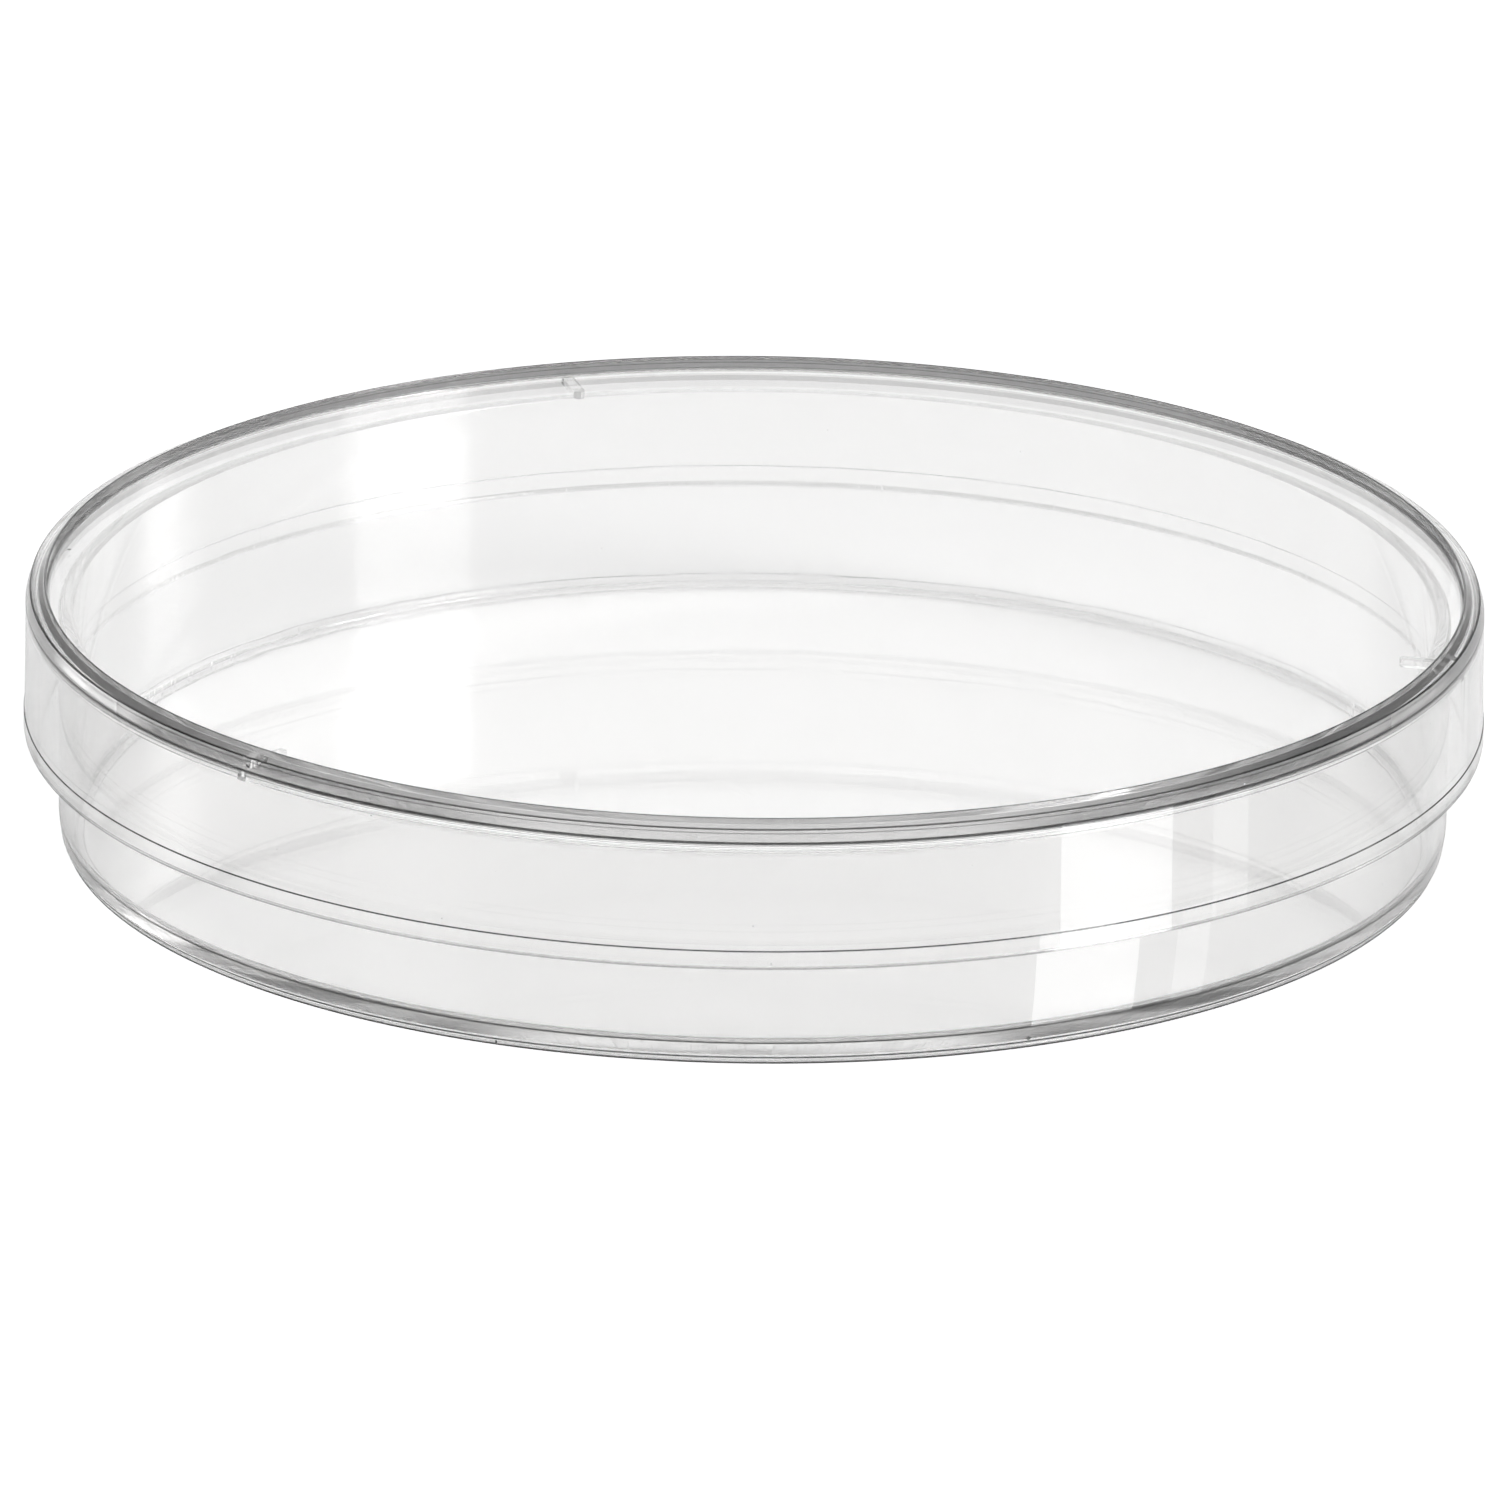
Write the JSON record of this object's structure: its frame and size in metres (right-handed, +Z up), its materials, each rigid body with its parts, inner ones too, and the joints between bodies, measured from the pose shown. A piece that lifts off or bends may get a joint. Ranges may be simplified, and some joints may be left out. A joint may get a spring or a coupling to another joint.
{
  "type": "petri dish",
  "caption": "Shallow round clear culture dish with a loose vented lid: the lid's skirt hangs outside the wall, and its raised rim locates another dish when they are stacked.",
  "frame": {"origin": "centre of the circle on which the dish stands, on the underside of the foot ring", "axes": "+Z up along the axis of the dish, through the base and then the lid; +X to the right and +Y away from someone facing the dish from -Y"},
  "size_m": [0.091, 0.091, 0.0164],
  "materials": {
    "base_polystyrene": "gloss",
    "lid_polystyrene": "gloss"
  },
  "bodies": {
    "dish": {"dish_base": "base_polystyrene"},
    "cover": {"lid": "lid_polystyrene"}
  },
  "joints": [
    {"name": "lid_lift", "type": "slide", "parent": "dish", "child": "cover", "axis": [0, 0, 1], "range_m": [0, 0.04]}
  ]
}
